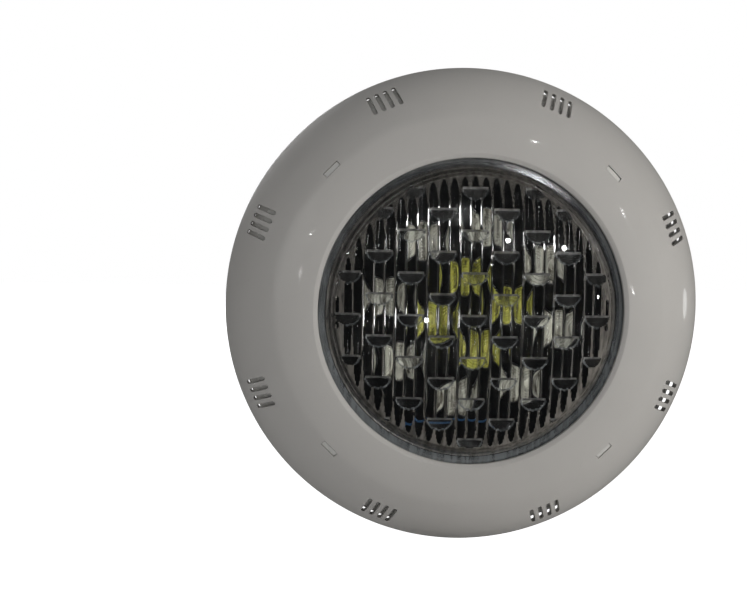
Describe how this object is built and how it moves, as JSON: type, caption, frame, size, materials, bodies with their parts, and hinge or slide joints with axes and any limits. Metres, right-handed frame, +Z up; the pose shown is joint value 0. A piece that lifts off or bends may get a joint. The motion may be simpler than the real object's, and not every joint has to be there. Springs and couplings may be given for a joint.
{
  "type": "underwater pool light",
  "caption": "Round surface-mounted underwater pool light with a domed fluted lens, a vented clip-on cover ring, a sealed LED lamp unit and a wall plate.",
  "frame": {"origin": "centre of the wall screw pattern, on the wall plate's back face", "axes": "-Y out of the wall, towards the water and the viewer; +Z up; +X to the viewer's right"},
  "size_m": [0.27, 0.0526, 0.27],
  "materials": {
    "white_abs_gloss": "glossy moulded ABS, light grey white",
    "white_abs_structure": "satin moulded ABS",
    "clear_polycarbonate": "clear moulded polycarbonate",
    "silicone_gasket": "soft silicone",
    "clamp_ring_plastic": "glass filled nylon",
    "shell_plastic": "moulded ABS",
    "aluminium_plate": "milled",
    "board_black": "black solder mask on aluminium",
    "black_mask": "satin black",
    "colour_led": "clear silicone over white package",
    "white_led": "yellow phosphor under silicone",
    "holder_plastic": "black nylon",
    "outer_optic": "pearl frosted acrylic",
    "inner_optic": "clear acrylic over yellow phosphor",
    "stainless_screw": "stainless",
    "brass_insert": "knurled",
    "brass_standoff": "turned",
    "nylon_washer": "nylon",
    "nylon_spacer": "nylon",
    "driver_laminate": "green solder mask",
    "capacitor_sleeve": "shrink sleeve",
    "copper_winding": "enamelled copper",
    "ferrite": "ferrite",
    "black_epoxy": "moulded epoxy",
    "terminal_plastic": "moulded polyamide",
    "receiver_laminate": "blue solder mask",
    "red_insulation": "PVC insulation",
    "blue_insulation": "PVC insulation",
    "antenna_insulation": "PVC insulation",
    "gland_nylon": "black polyamide",
    "gland_rubber": "nitrile"
  },
  "bodies": {
    "wall_mount": {"wall_plate": "white_abs_structure", "plate_inserts": "brass_insert"},
    "lamp": {"mounting_frame": "white_abs_structure", "hold_screws": "stainless_screw", "screw_washers": "nylon_washer", "lens": "clear_polycarbonate", "lens_gasket": "silicone_gasket", "clamp_ring": "clamp_ring_plastic", "clamp_screws": "stainless_screw", "rear_shell": "shell_plastic", "heat_spreader": "aluminium_plate", "led_board": "board_black", "optic_mask": "black_mask", "colour_leds": "colour_led", "white_leds": "white_led", "optic_holders": "holder_plastic", "outer_optics": "outer_optic", "inner_optics": "inner_optic", "standoffs": "brass_standoff", "board_screws": "stainless_screw", "driver_board": "driver_laminate", "driver_spacers": "nylon_spacer", "driver_screws": "stainless_screw", "capacitors": "capacitor_sleeve", "choke_coil": "copper_winding", "power_inductor": "ferrite", "rectifier": "black_epoxy", "driver_chips": "black_epoxy", "terminal_block": "terminal_plastic", "receiver_module": "receiver_laminate", "board_leads": "red_insulation", "blue_lead": "blue_insulation", "antenna_wire": "antenna_insulation", "gland_body": "gland_nylon", "gland_seal": "gland_rubber", "gland_nut": "gland_nylon", "gland_oring": "gland_rubber", "gland_locknut": "gland_nylon"},
    "cover": {"cover_ring": "white_abs_gloss"}
  },
  "joints": [
    {"name": "lamp_release", "type": "slide", "parent": "wall_mount", "child": "lamp", "axis": [0, -1, 0], "range_m": [0, 0.06]},
    {"name": "cover_release", "type": "slide", "parent": "lamp", "child": "cover", "axis": [0, -1, 0], "range_m": [0, 0.06]}
  ]
}
